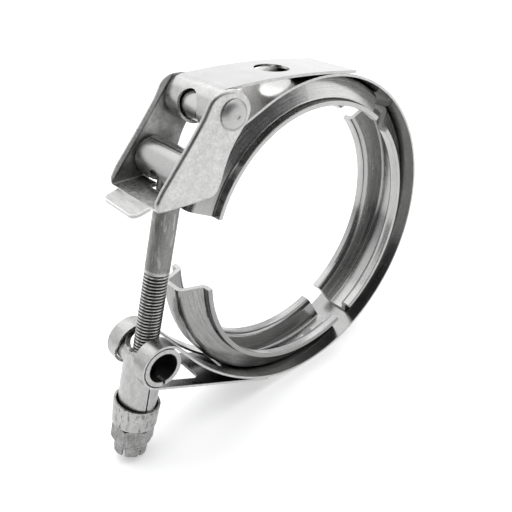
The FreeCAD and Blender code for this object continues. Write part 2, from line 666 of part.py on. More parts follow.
# lock nut: hexagon with rounded corners above a slotted crown
af = dim("nut_flats")
hexa = doc.addObject("Part::Prism", "nut_hex")
hexa.Polygon = 6
hexa.setExpression("Circumradius", "Dimensions.nut_flats / sqrt(3)")
hexa.Height = dim("nut_top") - dim("hex_bottom")
hexa.Placement = Placement(Vector(0, 0, dim("hex_bottom")), Rotation(Vector(0, 0, 1), dim("nut_turned") + 30.0))
# cone-ended barrel that trims the hexagon's corners at both ends
trim = doc.addObject("Part::Feature", "nut_trim")
rc = af / math.sqrt(3.0) + 0.6
z0, z1 = dim("hex_bottom"), dim("nut_top")
trim_pts = [Vector(0, 0, z0), Vector(af / 2.0 - 0.1, 0, z0), Vector(rc, 0, z0 + 1.15), Vector(rc, 0, z1 - 0.75),
            Vector(af / 2.0 - 0.1, 0, z1), Vector(0, 0, z1), Vector(0, 0, z0)]
trim.Shape = Part.Face(Part.makePolygon(trim_pts)).revolve(Vector(0, 0, 0), Vector(0, 0, 1), 360)
hex_trimmed = doc.addObject("Part::Common", "nut_hex_trimmed")
hex_trimmed.Base = hexa
hex_trimmed.Tool = trim
crown = doc.addObject("Part::Feature", "nut_crown")
cr = dim("crown_dia") / 2.0
ct = dim("crown_tip_dia") / 2.0
ce = dim("crown_end")
crown_pts = [Vector(0, 0, ce), Vector(ct, 0, ce), Vector(cr, 0, ce + 0.55), Vector(cr, 0, z0 + 0.5), Vector(0, 0, z0 + 0.5),
             Vector(0, 0, ce)]
crown.Shape = Part.Face(Part.makePolygon(crown_pts)).revolve(Vector(0, 0, 0), Vector(0, 0, 1), 360)
nut_solid = fuse("nut_solid", [hex_trimmed, crown])
nut_in = cylinder("nut_bore_tool", "Dimensions.nut_bore / 2", ce - 1, z1 + 1)
slots = []
cs = dim("crown_slot")
for k in range(3):
    s_box = block("crown_slot_%d" % k, -8.0, 8.0, -cs / 2.0, cs / 2.0, 0.0, dim("crown_slot_deep") + 1.0)
    turn = Rotation(Vector(0, 0, 1), dim("nut_turned") + 30.0 + 60.0 * k)
    corner = turn.multVec(Vector(-8.0, -cs / 2.0, 0))
    s_box.Placement = Placement(Vector(corner.x, corner.y, ce - 1.0), turn)
    slots.append(s_box)
nut = cut("lock_nut", nut_solid, [nut_in] + slots)
nut.Label = "lock_nut"
nut.Placement = bolt_place

doc.recompute()

# ------------------------------------------------------------ check and write
nodes = [strap] + [doc.getObject(n) for n in ("retainer_upper", "retainer_right", "retainer_lower")] + \
        [lever, rivet, bush, bolt, barrel, trunnion, collar, nut]
for obj in doc.Objects:
    for bad in ("Invalid", "Error"):
        if bad in obj.State:
            raise RuntimeError("%s is %s" % (obj.Name, obj.State))
for obj in nodes:
    if obj.Shape.isNull() or not obj.Shape.isValid():
        raise RuntimeError("%s has no valid shape" % obj.Label)
os.makedirs("parts", exist_ok=True)
total = 0.0
for obj in nodes:
    shape = obj.Shape
    bb = shape.BoundBox
    total += shape.Volume
    print("%-15s solids %d vol %9.2f  x %8.2f %8.2f  y %7.2f %7.2f  z %8.2f %8.2f" % (
        obj.Label, len(shape.Solids), shape.Volume, bb.XMin, bb.XMax, bb.YMin, bb.YMax, bb.ZMin, bb.ZMax))
    shape.exportStep(os.path.join("parts", obj.Label + ".step"))
print("total volume %.1f mm3" % total)
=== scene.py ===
import math

import bmesh
import bpy
import numpy as np
from mathutils import Matrix, Vector


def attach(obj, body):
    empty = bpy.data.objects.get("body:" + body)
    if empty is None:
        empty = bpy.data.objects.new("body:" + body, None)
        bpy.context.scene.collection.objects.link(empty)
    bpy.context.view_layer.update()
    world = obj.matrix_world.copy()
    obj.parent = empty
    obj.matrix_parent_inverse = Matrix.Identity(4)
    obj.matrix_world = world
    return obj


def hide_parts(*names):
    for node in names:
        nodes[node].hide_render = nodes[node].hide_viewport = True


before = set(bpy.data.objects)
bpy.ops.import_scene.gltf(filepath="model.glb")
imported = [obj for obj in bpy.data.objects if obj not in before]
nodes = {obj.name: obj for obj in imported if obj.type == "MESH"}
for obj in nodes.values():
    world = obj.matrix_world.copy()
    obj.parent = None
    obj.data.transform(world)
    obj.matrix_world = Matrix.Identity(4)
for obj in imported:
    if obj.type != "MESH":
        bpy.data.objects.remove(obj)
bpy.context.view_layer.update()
scene = bpy.context.scene

# The clamp is laid out in its ring plane and turned about Y so that it stands
# on the foot of the band and the crown of the nut.
STAND = math.radians(5.0744)
CS, SN = math.cos(STAND), math.sin(STAND)
PIN = (-35.3, 50.75)
TRN = (-62.0, -23.8)
TILT = math.radians(14.17)
FLOOR_Z = -0.0547
ASIDE = -0.4
BARREL_AT = 60.85


def lay(x, y, z):
    """A point of the lay-out frame, in mm, as a point of the row frame, in metres."""
    return Vector((x * CS + z * SN, y, -x * SN + z * CS)) / 1000.0


def turned(v):
    return Vector((v[0] * CS + v[2] * SN, v[1], -v[0] * SN + v[2] * CS))


# ------------------------------------------------------------------- camera
CAM_AZ, CAM_EL, CAM_ROLL = math.radians(-40.685), math.radians(30.4285), math.radians(0.4227)
c_right = Vector((math.cos(CAM_AZ), math.sin(CAM_AZ), 0.0))
c_back = Vector((math.sin(CAM_AZ) * math.cos(CAM_EL), -math.cos(CAM_AZ) * math.cos(CAM_EL), math.sin(CAM_EL)))
c_up = c_back.cross(c_right)
rr = math.cos(CAM_ROLL) * c_right + math.sin(CAM_ROLL) * c_up
uu = -math.sin(CAM_ROLL) * c_right + math.cos(CAM_ROLL) * c_up
cam_data = bpy.data.cameras.new("camera")
cam_data.sensor_width = 36.0
cam_data.lens = 651.35 / 512.0 * 36.0
cam_data.clip_start = 0.005
cam_data.clip_end = 20.0
cam = bpy.data.objects.new("camera", cam_data)
scene.collection.objects.link(cam)
axes = [turned(v) for v in (rr, uu, c_back)]
m = Matrix.Identity(4)
for i, v in enumerate(axes):
    for k in range(3):
        m[k][i] = v[k]
loc = lay(-141.145, -145.108, 106.574)
for k in range(3):
    m[k][3] = loc[k]
cam.matrix_world = m
scene.camera = cam


# ---------------------------------------------------------------- materials
class Tree:
    """Short names for building a shader."""

    def __init__(self, name):
        self.mat = bpy.data.materials.new(name)
        self.mat.use_nodes = True
        self.t = self.mat.node_tree
        self.t.nodes.clear()
        self.out = self.t.nodes.new("ShaderNodeOutputMaterial")

    def node(self, kind, **props):
        n = self.t.nodes.new("ShaderNode" + kind)
        for k, v in props.items():
            setattr(n, k, v)
        return n

    def link(self, a, b):
        self.t.links.new(a, b)

    def put(self, value, socket):
        if hasattr(value, "is_output"):
            self.link(value, socket)
        else:
            socket.default_value = value

    def math(self, op, a, b=0.0, c=None, clamp=False):
        n = self.node("Math", operation=op, use_clamp=clamp)
        self.put(a, n.inputs[0])
        self.put(b, n.inputs[1])
        if c is not None:
            self.put(c, n.inputs[2])
        return n.outputs[0]

    def xyz(self, v):
        n = self.node("SeparateXYZ")
        self.link(v, n.inputs[0])
        return n.outputs

    def vec(self, x, y, z):
        n = self.node("CombineXYZ")
        for s, v in zip(n.inputs, (x, y, z)):
            self.put(v, s)
        return n.outputs[0]

    def noise(self, v, scale, detail=3.0, rough=0.55, distort=0.0):
        n = self.node("TexNoise")
        self.link(v, n.inputs["Vector"])
        n.inputs["Scale"].default_value = scale
        n.inputs["Detail"].default_value = detail
        n.inputs["Roughness"].default_value = rough
        n.inputs["Distortion"].default_value = distort
        return n.outputs["Fac"]

    def ramp(self, fac, stops):
        n = self.node("ValToRGB")
        self.link(fac, n.inputs[0])
        el = n.color_ramp.elements
        while len(el) < len(stops):
            el.new(0.5)
        for e, (p, c) in zip(el, stops):
            e.position = p
            e.color = (c, c, c, 1) if isinstance(c, float) else (*c, 1)
        return n.outputs[0]

    def range(self, fac, a, b, c, d):
        n = self.node("MapRange")
        self.put(fac, n.inputs[0])
        for s, v in zip(n.inputs[1:5], (a, b, c, d)):
            s.default_value = v
        return n.outputs[0]

    def mix(self, fac, a, b, blend="MIX"):
        n = self.node("Mix", data_type="RGBA", blend_type=blend)
        self.put(fac, n.inputs[0])
        self.put(a, n.inputs[6])
        self.put(b, n.inputs[7])
        return n.outputs[2]


def smooth(t, v, a, b, c=0.0, d=1.0):
    """Smooth step of v from a to b, giving c to d."""
    n = t.node("MapRange", interpolation_type="SMOOTHSTEP")
    t.put(v, n.inputs[0])
    for s, x in zip(n.inputs[1:5], (a, b, c, d)):
        s.default_value = x
    return n.outputs[0]


def near(t, v, at, half, soft):
    """1 where v lies within half of at, falling to 0 over soft."""
    d = t.math("ABSOLUTE", t.math("SUBTRACT", v, at))
    return smooth(t, d, half, half + soft, 1.0, 0.0)


def steel(name, tone, rough, grain="flat", mottle=0.06, streak=0.5, bump=0.07, bevel=0.16, tint=(1.0, 0.995, 0.985),
          marks=None, speckle=0.12, dull=0.0, wear_and_edge_highlight=0.35, edge_highlight_width=0.26,
          sheared=None, cut_tone=0.62, edge_shade_line=0.45):
    """Stainless steel. grain says which way the rolling or turning lines run: ring, along (the bolt axis), flat.
    marks adds lines and stains in the piece's own lay-out, in mm; dull mixes in a matt skin; the edge-highlight
    settings give the strength and the width, in mm, of a painted highlight along the edges."""
    t = Tree(name)
    tc = t.node("TexCoord")
    rot = t.node("Mapping", vector_type="POINT")
    t.link(tc.outputs["Object"], rot.inputs["Vector"])
    on_bolt = grain in ("along", "round", "bar")
    back = -(STAND + TILT) if on_bolt else -STAND
    rot.inputs["Rotation"].default_value = (0.0, back, 0.0)
    rot.inputs["Scale"].default_value = (1000.0, 1000.0, 1000.0)
    if on_bolt:
        # the bolt's own frame: x across, y, and z along the bolt from the trunnion
        ox = TRN[0] * math.cos(TILT) - TRN[1] * math.sin(TILT)
        oz = TRN[0] * math.sin(TILT) + TRN[1] * math.cos(TILT)
        rot.inputs["Location"].default_value = (-ox - ASIDE, 0.0, -oz)
    p = rot.outputs["Vector"]
    x, y, z = t.xyz(p)
    if grain == "ring":
        r = t.math("SQRT", t.math("ADD", t.math("MULTIPLY", x, x), t.math("MULTIPLY", z, z)))
        a = t.math("MULTIPLY", t.math("ARCTAN2", z, x), 50.0)
        sv = t.vec(t.math("MULTIPLY", r, 3.2), t.math("MULTIPLY", y, 3.2), t.math("MULTIPLY", a, 0.05))
    elif grain == "along":
        sv = t.vec(t.math("MULTIPLY", x, 2.6), t.math("MULTIPLY", y, 2.6), t.math("MULTIPLY", z, 0.22))
    elif grain == "round":
        sv = t.vec(t.math("MULTIPLY", x, 0.3), t.math("MULTIPLY", y, 0.3), t.math("MULTIPLY", z, 4.0))
    elif grain == "bar":
        sv = t.vec(t.math("MULTIPLY", x, 3.0), t.math("MULTIPLY", y, 0.3), t.math("MULTIPLY", z, 3.0))
    else:
        sv = t.vec(t.math("MULTIPLY", x, 0.35), t.math("MULTIPLY", y, 2.2), t.math("MULTIPLY", z, 0.35))
    lines = t.noise(sv, 1.0, 4.0, 0.6)
    cloud = t.noise(p, 0.16, 4.0, 0.55)
    fine = t.noise(p, 1.5, 3.0, 0.6)
    speck = t.noise(p, 3.2, 2.0, 0.6)
    # colour: cloudy sheen, lines, small dull specks
    v = t.range(cloud, 0.3, 0.7, tone * (1.0 - mottle), tone * (1.0 + mottle))
    v = t.math("ADD", v, t.range(lines, 0.3, 0.7, -0.06 * streak, 0.06 * streak))
    v = t.math("ADD", v, t.range(fine, 0.3, 0.7, -0.03, 0.03))
    v = t.math("MULTIPLY", v, t.range(speck, 0.3, 0.42, 1.0 - speckle, 1.0))
    h = t.math("ADD", t.math("MULTIPLY", lines, 0.6 * streak), t.math("MULTIPLY", fine, 0.4))
    h = t.math("ADD", h, t.math("MULTIPLY", cloud, 1.2))
    ro = t.range(cloud, 0.3, 0.7, rough * 0.85, rough * 1.15)
    ro = t.math("ADD", ro, t.range(lines, 0.3, 0.7, -0.07 * streak, 0.07 * streak))
    ro = t.math("ADD", ro, t.range(fine, 0.3, 0.7, -0.03, 0.03))
    if marks:
        v, h, ro = marks(t, x, y, z, v, h, ro)
    metal = 1.0 - dull
    if sheared:
        # cut edges: pale and matt, so they catch light from all sides; on the lever the mask also carries the painted
        # highlight border along the far cheek
        cut = sheared(t, x, y, z)
        cv = t.math("ADD", cut_tone, t.range(fine, 0.3, 0.7, -0.10, 0.10))
        v = t.math("ADD", t.math("MULTIPLY", v, t.math("SUBTRACT", 1.0, cut)), t.math("MULTIPLY", cv, cut))
        ro = t.math("ADD", ro, t.math("MULTIPLY", cut, 0.25))
        metal = t.math("SUBTRACT", metal, t.math("MULTIPLY", cut, 0.62))
    # painted highlight along the edges, found where the bevel normal turns from the face normal; the edges are also a
    # little rougher
    wide = t.node("Bevel")
    wide.samples = 4
    wide.inputs["Radius"].default_value = edge_highlight_width / 1000.0
    geo = t.node("NewGeometry")
    dot = t.node("VectorMath", operation="DOT_PRODUCT")
    t.link(wide.outputs["Normal"], dot.inputs[0])
    t.link(geo.outputs["Normal"], dot.inputs[1])
    edge_highlight = smooth(t, dot.outputs["Value"], 0.985, 0.90)
    edge_highlight = t.math("MULTIPLY", edge_highlight, t.range(fine, 0.25, 0.75, 0.6, 1.0))
    if sheared:
        # painted shade: a fine dark line along both borders of a cut edge
        v = t.math("MULTIPLY", v, t.math("SUBTRACT", 1.0, t.math("MULTIPLY", t.math("MULTIPLY", edge_highlight, cut), edge_shade_line)))
        edge_highlight = t.math("MULTIPLY", edge_highlight, t.math("MAXIMUM", t.math("SUBTRACT", 1.0, cut), 0.0))
    v = t.math("ADD", v, t.math("MULTIPLY", edge_highlight, wear_and_edge_highlight))
    ro = t.math("ADD", ro, t.math("MULTIPLY", edge_highlight, 0.12))
    v = t.math("MAXIMUM", t.math("MINIMUM", v, 0.96), 0.02)
    ro = t.math("MAXIMUM", t.math("MINIMUM", ro, 0.95), 0.08)
    col = t.vec(t.math("MULTIPLY", v, tint[0]), t.math("MULTIPLY", v, tint[1]), t.math("MULTIPLY", v, tint[2]))
    bv = t.node("Bevel")
    bv.samples = 4
    bv.inputs["Radius"].default_value = bevel / 1000.0
    bp = t.node("Bump")
    bp.inputs["Strength"].default_value = bump
    bp.inputs["Distance"].default_value = 0.00012
    t.link(h, bp.inputs["Height"])
    t.link(bv.outputs["Normal"], bp.inputs["Normal"])
    sh = t.node("BsdfPrincipled")
    t.put(metal, sh.inputs["Metallic"])
    t.link(col, sh.inputs["Base Color"])
    t.link(ro, sh.inputs["Roughness"])
    t.link(bp.outputs["Normal"], sh.inputs["Normal"])
    t.link(sh.outputs[0], t.out.inputs[0])
    return t.mat


def angle_of(t, a, b):
    """Angle of (a, b) in degrees, -180 to 180."""
    return t.math("MULTIPLY", t.math("ARCTAN2", b, a), 180.0 / math.pi)


def barrel_marks(t, x, y, z, v, h, ro):
    """The seam where the rolled sheet meets, along the top of the barrel, with a second dark line beside it, and a
    painted highlight on the band of barrel next to the seam.
    """
    ang = angle_of(t, x, t.math("SUBTRACT", z, BARREL_AT))
    wob = t.noise(t.vec(0.0, t.math("MULTIPLY", y, 0.5), 0.0), 1.0)
    seam = near(t, t.math("ADD", ang, t.math("MULTIPLY", wob, 3.0)), 113.0, 2.0, 1.4)
    side = near(t, ang, 121.0, 0.8, 1.6)
    v = t.math("MULTIPLY", v, t.math("SUBTRACT", 1.0, t.math("MULTIPLY", seam, 0.75)))
    v = t.math("MULTIPLY", v, t.math("SUBTRACT", 1.0, t.math("MULTIPLY", side, 0.45)))
    # painted highlight on a band of the barrel beside the seam
    seam_side_highlight = t.math("MULTIPLY", smooth(t, ang, 110.5, 109.0), smooth(t, ang, 60.0, 70.0))
    v = t.math("ADD", v, t.math("MULTIPLY", seam_side_highlight, 0.30))
    h = t.math("SUBTRACT", h, t.math("MULTIPLY", seam, 2.0))
    return v, h, ro


def retainer_marks(spots):
    """Dull oval marks where the base is spot-welded to the strip: (ring angle, y) of each."""
    def add(t, x, y, z, v, h, ro):
        r = t.math("SQRT", t.math("ADD", t.math("MULTIPLY", x, x), t.math("MULTIPLY", z, z)))
        ang = angle_of(t, x, z)
        base = smooth(t, r, 51.5, 52.1)
        for at, yc, dark in spots:
            u = t.math("MULTIPLY", t.math("SUBTRACT", ang, at), 52.0 * math.pi / 180.0)
            w = t.math("SUBTRACT", y, yc)
            q = t.math("SQRT", t.math("ADD", t.math("MULTIPLY", t.math("MULTIPLY", u, u), 0.45),
                                      t.math("MULTIPLY", w, w)))
            wob = t.math("MULTIPLY", t.noise(t.vec(u, w, float(at)), 0.9), 0.8)
            q = t.math("ADD", q, wob)
            spot = t.math("MULTIPLY", smooth(t, q, 1.5, 2.1, 1.0, 0.0), base)
            halo = t.math("MULTIPLY", near(t, q, 2.3, 0.2, 0.5), base)
            v = t.math("MULTIPLY", v, t.math("SUBTRACT", 1.0, t.math("MULTIPLY", spot, dark)))
            v = t.math("ADD", v, t.math("MULTIPLY", halo, 0.02))
            ro = t.math("ADD", ro, t.math("MULTIPLY", spot, 0.15))
            h = t.math("SUBTRACT", h, t.math("MULTIPLY", spot, 1.2))
        return v, h, ro
    return add


def cut_edge(t, y, half_in, half_out):
    """1 on the sheared edges of a sheet that stands across Y: the faces whose normal lies in the ring plane."""
    g = t.node("NewGeometry")
    n = t.xyz(g.outputs["True Normal"])
    flat = smooth(t, t.math("ABSOLUTE", n[1]), 0.35, 0.6, 1.0, 0.0)
    ay = t.math("ABSOLUTE", y)
    return t.math("MULTIPLY", flat, t.math("MULTIPLY", smooth(t, ay, half_in - 0.05, half_in),
                                           smooth(t, ay, half_out, half_out + 0.05, 1.0, 0.0)))


def lever_marks(t, x, y, z, v, h, ro):
    """The inside of the folded channel is duller (rougher) and blotchier than its outside, and painted shade darkens it
    towards the floor.
    """
    inside = t.math("MULTIPLY", smooth(t, t.math("ABSOLUTE", y), 11.6, 11.15),
                    smooth(t, x, -60.8, -60.0))
    low = smooth(t, z, 38.0, 29.0)
    cloudy = t.noise(t.vec(x, 0.0, z), 0.22, 4.0, 0.6)
    v = t.math("MULTIPLY", v, t.math("ADD", 1.0, t.math("MULTIPLY", inside, t.range(cloudy, 0.35, 0.65, -0.20, 0.55))))
    # painted shade inside the channel, deepening towards the floor
    v = t.math("MULTIPLY", v, t.math("SUBTRACT", 1.0, t.math("MULTIPLY", inside,
                                                             t.math("ADD", 0.0, t.math("MULTIPLY", low, 0.34)))))
    ro = t.math("ADD", ro, t.math("MULTIPLY", inside, 0.10))
    floor_rough = t.noise(t.vec(x, y, z), 0.9, 5.0, 0.7)
    on_floor = t.math("MULTIPLY", smooth(t, z, 30.2, 29.9), inside)
    v = t.math("MULTIPLY", v, t.math("ADD", 1.0, t.math("MULTIPLY", on_floor, t.range(floor_rough, 0.3, 0.7, -0.55, 0.30))))
    # painted highlight along the bends between the floor and the cheeks
    crease_highlight = t.math("MULTIPLY", near(t, t.math("ABSOLUTE", y), 11.0, 0.12, 0.15), on_floor)
    v = t.math("ADD", v, t.math("MULTIPLY", crease_highlight, 0.30))
    tab = smooth(t, x, -60.2, -61.0)
    v = t.math("MULTIPLY", v, t.math("SUBTRACT", 1.0, t.math("MULTIPLY", tab, 0.20)))
    # painted shade: a dark line at the foot of the rolled border on the far cheek
    foot_shade = t.math("MULTIPLY", near(t, front_of_cheek(t, x, z), -1.45, 0.10, 0.30), smooth(t, z, 30.5, 32.0))
    foot_shade = t.math("MULTIPLY", foot_shade, smooth(t, y, 10.9, 11.1))
    v = t.math("MULTIPLY", v, t.math("SUBTRACT", 1.0, t.math("MULTIPLY", foot_shade, 0.50)))
    # blotchy handling marks and fine scratches on the cheeks
    blot = t.noise(t.vec(x, t.math("MULTIPLY", y, 0.2), z), 0.55, 5.0, 0.72)
    v = t.math("MULTIPLY", v, t.range(blot, 0.3, 0.7, 0.84, 1.13))
    pits = t.noise(t.vec(x, t.math("MULTIPLY", y, 0.2), z), 1.5, 4.0, 0.75)
    v = t.math("MULTIPLY", v, t.range(pits, 0.3, 0.7, 0.84, 1.12))
    scr = t.noise(t.vec(t.math("MULTIPLY", t.math("ADD", x, t.math("MULTIPLY", z, 0.4)), 0.18), y,
                        t.math("MULTIPLY", t.math("SUBTRACT", z, t.math("MULTIPLY", x, 0.4)), 2.2)), 1.0, 2.0)
    line_ = smooth(t, scr, 0.33, 0.26)
    v = t.math("MULTIPLY", v, t.math("SUBTRACT", 1.0, t.math("MULTIPLY", line_, 0.22)))
    return v, h, ro


def strap_marks(t, x, y, z, v, h, ro):
    """Painted shade on the inside of the ring's right side and on the layer that runs out below the ring; the loops are
    rougher, smudged and darkened with painted shade.
    """
    r = t.math("SQRT", t.math("ADD", t.math("MULTIPLY", x, x), t.math("MULTIPLY", z, z)))
    # painted shade on the inside of the ring's right side
    inner_face_shade = t.math("MULTIPLY", smooth(t, r, 54.25, 53.98), smooth(t, x, -30.0, -22.0))
    v = t.math("MULTIPLY", v, t.math("SUBTRACT", 1.0, t.math("MULTIPLY", inner_face_shade, 0.45)))
    # painted shade on the layer that runs out below the ring to the lower loop
    under_ring_shade = t.math("MULTIPLY", smooth(t, z, -30.5, -33.0), smooth(t, r, 54.95, 55.30))
    v = t.math("MULTIPLY", v, t.math("SUBTRACT", 1.0, t.math("MULTIPLY", under_ring_shade, 0.55)))
    # the loops are rougher than the plate, and darkened by painted shade broken up by smudges
    loop = t.math("MAXIMUM", smooth(t, x, -50.0, -56.0),
                  t.math("MULTIPLY", smooth(t, x, -30.0, -33.0), smooth(t, z, 57.6, 56.6)))
    smudge = t.noise(t.vec(x, t.math("MULTIPLY", y, 0.5), z), 0.5, 4.0, 0.65)
    v = t.math("MULTIPLY", v, t.math("SUBTRACT", 1.0, t.math("MULTIPLY", loop, t.range(smudge, 0.3, 0.7, 0.36, 0.16))))
    ro = t.math("ADD", ro, t.math("MULTIPLY", loop, 0.10))
    return v, h, ro


def strap_cut(t, x, y, z):
    """The slit edges of the strip."""
    return smooth(t, t.math("ABSOLUTE", y), 10.24, 10.29)


def lever_cut(t, x, y, z):
    """The edges of the two cheeks, and a painted highlight: a pale border along the front of the cheek that lies in the
    shade, standing in for its lit rolled edge.
    """
    border_highlight = t.math("MULTIPLY", near(t, front_of_cheek(t, x, z), -0.40, 0.60, 0.15), smooth(t, z, 30.5, 32.0))
    border_highlight = t.math("MULTIPLY", t.math("MULTIPLY", border_highlight, smooth(t, y, 10.9, 11.1)), 1.5)
    return t.math("MAXIMUM", cut_edge(t, y, 11.17, 12.44), border_highlight)


def front_of_cheek(t, x, z):
    """Distance from the front outline of the cheeks, in mm, negative within them."""
    return t.math("ADD", t.math("MULTIPLY", t.math("ADD", x, 44.9), -0.7671),
                  t.math("MULTIPLY", t.math("SUBTRACT", z, 51.7), 0.6426))


def retainer_cut(t, x, y, z):
    """The cut ends of a retainer: faces whose normal runs round the ring."""
    g = t.node("NewGeometry")
    n = t.node("VectorRotate", rotation_type="AXIS_ANGLE")
    t.link(g.outputs["True Normal"], n.inputs["Vector"])
    n.inputs["Axis"].default_value = (0.0, 1.0, 0.0)
    n.inputs["Angle"].default_value = -STAND
    nx, ny, nz = t.xyz(n.outputs[0])
    r = t.math("SQRT", t.math("ADD", t.math("MULTIPLY", x, x), t.math("MULTIPLY", z, z)))
    along = t.math("DIVIDE", t.math("SUBTRACT", t.math("MULTIPLY", nx, z), t.math("MULTIPLY", nz, x)), r)
    return smooth(t, t.math("ABSOLUTE", along), 0.90, 0.96)


def collar_marks(t, x, y, z, v, h, ro):
    """Worn plating: short dark runs down the collar and pits."""
    a = t.math("ARCTAN2", y, x)
    n = t.noise(t.vec(t.math("MULTIPLY", t.math("COSINE", a), 6.0), t.math("MULTIPLY", t.math("SINE", a), 6.0),
                      t.math("MULTIPLY", z, 0.33)), 1.0, 4.0, 0.7)
    dark = smooth(t, n, 0.50, 0.38)
    side = smooth(t, z, -26.0, -25.0)
    v = t.math("MULTIPLY", v, t.math("SUBTRACT", 1.0, t.math("MULTIPLY", t.math("MULTIPLY", dark, side), 0.55)))
    h = t.math("SUBTRACT", h, t.math("MULTIPLY", dark, 1.5))
    return v, h, ro


def nut_marks(t, x, y, z, v, h, ro):
    """Worn plating: light rubbed patches and dark pits on the flats and the crown."""
    n = t.noise(t.vec(x, y, z), 0.75, 5.0, 0.75)
    v = t.math("MULTIPLY", v, t.range(n, 0.3, 0.7, 0.62, 1.45))
    h = t.math("ADD", h, t.math("MULTIPLY", n, 2.0))
    return v, h, ro


def trunnion_marks(t, x, y, z, v, h, ro):
    """The bore of the cross tube is painted dark as shade inside the hole; the tube and neck carry small dark handling
    marks.
    """
    ax = t.math("ADD", x, ASIDE)
    r = t.math("SQRT", t.math("ADD", t.math("MULTIPLY", ax, ax), t.math("MULTIPLY", z, z)))
    bore_shade = t.math("MULTIPLY", smooth(t, r, 5.10, 4.98), smooth(t, z, -6.0, -5.4))
    v = t.math("MULTIPLY", v, t.math("SUBTRACT", 1.0, t.math("MULTIPLY", bore_shade, 0.88)))
    ro = t.math("ADD", ro, t.math("MULTIPLY", bore_shade, 0.25))
    blot = t.noise(t.vec(x, y, t.math("MULTIPLY", z, 0.6)), 0.7, 5.0, 0.7)
    v = t.math("MULTIPLY", v, t.range(blot, 0.3, 0.7, 0.84, 1.14))
    return v, h, ro


def bolt_marks(t, x, y, z, v, h, ro):
    """Dull grainy shank with light worn patches; thread grooves darkened and thread crests lightened."""
    r = t.math("SQRT", t.math("ADD", t.math("MULTIPLY", x, x), t.math("MULTIPLY", y, y)))
    in_thread = smooth(t, z, 29.4, 28.2)
    groove = t.math("MULTIPLY", smooth(t, r, 3.80, 3.35), in_thread)
    crest = t.math("MULTIPLY", smooth(t, r, 3.72, 3.84), in_thread)
    v = t.math("MULTIPLY", v, t.math("SUBTRACT", 1.0, t.math("MULTIPLY", groove, 0.92)))
    v = t.math("ADD", v, t.math("MULTIPLY", crest, 0.26))
    ro = t.math("SUBTRACT", ro, t.math("MULTIPLY", crest, 0.08))
    wear_and_edge_highlight = t.noise(t.vec(t.math("MULTIPLY", x, 0.7), t.math("MULTIPLY", y, 0.7), t.math("MULTIPLY", z, 0.16)), 1.0, 4.0)
    patch = t.math("MULTIPLY", smooth(t, wear_and_edge_highlight, 0.52, 0.62), t.math("SUBTRACT", 1.0, in_thread))
    v = t.math("ADD", v, t.math("MULTIPLY", patch, 0.14))
    return v, h, ro


MATS = {
    "band_strap": steel("strip_steel_mat", 0.52, 0.19, "ring", streak=0.5, marks=strap_marks, sheared=strap_cut),
    "retainer_upper": steel("retainer_steel_mat", 0.41, 0.21, "ring", streak=1.0,
                            marks=retainer_marks([(68.0, 0.2, 0.3), (100.0, -0.3, 0.3), (84.0, 0.1, 0.25)]), sheared=retainer_cut),
    "retainer_right": steel("retainer_right_mat", 0.39, 0.21, "ring", streak=1.1,
                            marks=retainer_marks([(39.0, 0.0, 0.60)]), sheared=retainer_cut),
    # the lower retainer is the same steel with a darker tone painted on as shade
    "retainer_lower": steel("retainer_lower_shaded_mat", 0.29, 0.18, "ring", streak=1.2,
                            marks=retainer_marks([(-78.0, 0.2, 0.2), (-104.0, -0.3, 0.2)]), sheared=retainer_cut),
    "latch_lever": steel("lever_steel_mat", 0.53, 0.34, "flat", streak=0.3, mottle=0.05, marks=lever_marks, sheared=lever_cut, cut_tone=0.70, edge_shade_line=0.0,
                         wear_and_edge_highlight=0.60, edge_highlight_width=0.75),
    "lever_rivet": steel("rivet_steel_mat", 0.48, 0.46, "flat", streak=0.2),
    "loop_bush": steel("bush_steel_mat", 0.50, 0.30, "flat", streak=0.3),
    "t_bolt": steel("bolt_steel_mat", 0.22, 0.38, "along", streak=0.8, mottle=0.10, speckle=0.3, marks=bolt_marks,
                    bevel=0.05, tint=(1.0, 1.0, 0.975)),
    "t_barrel": steel("barrel_steel_mat", 0.37, 0.30, "bar", streak=0.15, mottle=0.04, speckle=0.04, bump=0.03, marks=barrel_marks),
    "trunnion": steel("trunnion_steel_mat", 0.43, 0.30, "along", streak=0.4, marks=trunnion_marks),
    "collar_cup": steel("collar_steel_mat", 0.43, 0.36, "along", streak=0.6, mottle=0.12, speckle=0.3,
                        marks=collar_marks),
    "lock_nut": steel("nut_steel_mat", 0.26, 0.36, "round", streak=0.5, mottle=0.22, speckle=0.35, marks=nut_marks, wear_and_edge_highlight=0.45),
}
for n, o in nodes.items():
    o.data.materials.clear()
    o.data.materials.append(MATS[n])


# --------------------------------------------------------- the bolt, in full
BOLT_R = 3.86
PITCH = 1.058
THREAD_FROM = 28.6
ROOT_R = 3.29
TC, TS = math.cos(TILT), math.sin(TILT)


def on_axis(x, y, s):
    """A point of the bolt's own frame as a point of the row frame."""
    x += ASIDE
    return lay(TRN[0] + x * TC + s * TS, y, TRN[1] - x * TS + s * TC)


def thread_radius(u, s, low):
    """Radius of the thread at turn fraction u and height s, with run-outs at both ends."""
    f = (s / PITCH - u) % 1.0
    d = abs(f - 0.5) * 2.0                       # 1 at the crest, 0 at the root
    full = ROOT_R + (BOLT_R - ROOT_R) * min(1.0, max(0.0, (d - 0.10) / 0.72))
    fade = min(1.0, max(0.0, (THREAD_FROM - s) / 1.6))
    r = BOLT_R - (BOLT_R - full) * fade
    tip = BOLT_R - 0.8 + (s - low)
    return min(r, tip)


